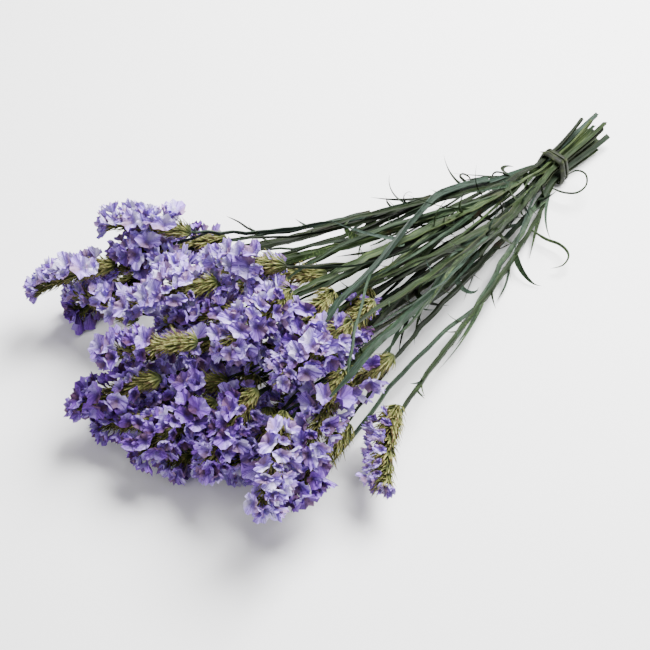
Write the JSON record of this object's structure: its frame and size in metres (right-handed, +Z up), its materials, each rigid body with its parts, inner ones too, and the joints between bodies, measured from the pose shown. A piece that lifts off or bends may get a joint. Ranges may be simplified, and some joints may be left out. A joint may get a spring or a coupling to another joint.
{
  "type": "dried statice bunch",
  "caption": "Tied bunch of dried statice lying on its side: branched winged stems with spikes of papery violet florets and green bracts, held by an elastic band.",
  "frame": {"origin": "under the middle of the bunch, on the surface that it lies on", "axes": "+X from the flower heads to the cut ends, +Z up"},
  "size_m": [0.4476, 0.2596, 0.1029],
  "materials": {
    "stem": "dry grey-green plant stem, matt",
    "florets": "papery dried violet calyx, matt",
    "band": "dull natural rubber"
  },
  "bodies": {
    "root": {"stem_01": "stem", "florets_01a": "florets", "florets_01b": "florets", "florets_01c": "florets", "stem_02": "stem", "florets_02a": "florets", "florets_02b": "florets", "florets_02c": "florets", "stem_03": "stem", "florets_03a": "florets", "florets_03b": "florets", "stem_04": "stem", "florets_04a": "florets", "florets_04b": "florets", "florets_04c": "florets", "stem_05": "stem", "florets_05a": "florets", "florets_05b": "florets", "florets_05c": "florets", "stem_06": "stem", "florets_06a": "florets", "florets_06b": "florets", "florets_06c": "florets", "stem_07": "stem", "florets_07a": "florets", "florets_07b": "florets", "florets_07c": "florets", "stem_08": "stem", "florets_08a": "florets", "florets_08b": "florets", "florets_08c": "florets", "stem_09": "stem", "florets_09a": "florets", "florets_09b": "florets", "florets_09c": "florets", "stem_10": "stem", "florets_10a": "florets", "florets_10b": "florets", "florets_10c": "florets", "stem_11": "stem", "florets_11a": "florets", "florets_11b": "florets", "florets_11c": "florets", "stem_12": "stem", "florets_12a": "florets", "florets_12b": "florets", "stem_13": "stem", "florets_13a": "florets", "stem_14": "stem", "florets_14a": "florets", "band": "band"}
  },
  "joints": []
}
